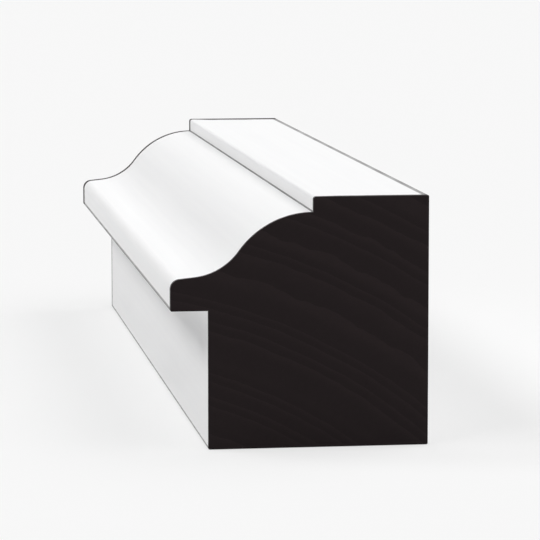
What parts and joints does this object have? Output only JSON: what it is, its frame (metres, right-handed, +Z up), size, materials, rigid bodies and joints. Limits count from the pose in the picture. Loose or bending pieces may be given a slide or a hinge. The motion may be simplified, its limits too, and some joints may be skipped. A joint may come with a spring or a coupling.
{
  "type": "back band moulding",
  "caption": "L-shaped back band trim: an ogee face rises from a rounded lip to a stepped square head, and a rabbet under the lip laps the edge of a flat casing board.",
  "frame": {"origin": "middle of the bounding box in plan, on the plane of the flat back that goes to the wall", "axes": "+Y along the length, +Z up from the back to the top of the head, +X from the lip to the outer edge"},
  "size_m": [0.036, 0.1524, 0.0349],
  "materials": {
    "white_primer": "matte"
  },
  "bodies": {
    "root": {"back_band": "white_primer"}
  },
  "joints": []
}
